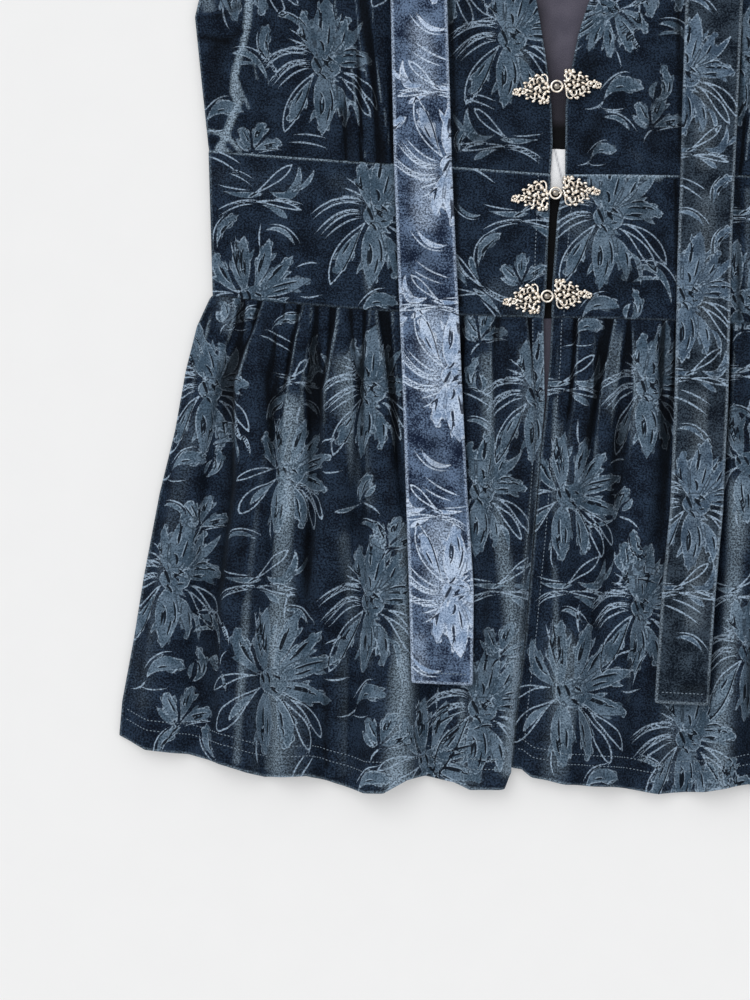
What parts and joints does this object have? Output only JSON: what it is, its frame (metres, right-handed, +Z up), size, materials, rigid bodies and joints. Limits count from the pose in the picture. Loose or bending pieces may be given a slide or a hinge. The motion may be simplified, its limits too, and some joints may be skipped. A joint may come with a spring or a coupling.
{
  "type": "sleeveless velour peplum top",
  "caption": "Sleeveless velour top laid flat, with a V neck, a clasped front opening, a fitted waistband, a gathered peplum and long ties.",
  "frame": {"origin": "under the middle of the garment's box, on the surface that it lies on", "axes": "+X across towards the wearer's left, +Y up towards the neck, +Z up off the surface; the front faces +Z"},
  "size_m": [0.458, 0.6212, 0.0196],
  "materials": {
    "velour": "stretch velour, dark blue, with an embossed flower pattern in a flatter grey blue",
    "velour_inside": "smooth knitted wrong side of the velour, dark grey mauve",
    "clasp_metal": "cast openwork, polished pale champagne silver",
    "label": "plain white satin"
  },
  "bodies": {
    "root": {"bodice_front_right": "velour", "bodice_front_left": "velour", "waistband_front_right": "velour", "waistband_front_left": "velour", "peplum_front_right": "velour", "peplum_front_left": "velour", "peplum_back": "velour", "tie_right": "velour", "tie_left": "velour", "bodice_back": "velour_inside", "waistband_back": "velour_inside", "clasp_top_eye": "clasp_metal", "clasp_top_hook": "clasp_metal", "clasp_middle_eye": "clasp_metal", "clasp_middle_hook": "clasp_metal", "clasp_bottom_eye": "clasp_metal", "clasp_bottom_hook": "clasp_metal", "label": "label"}
  },
  "joints": []
}
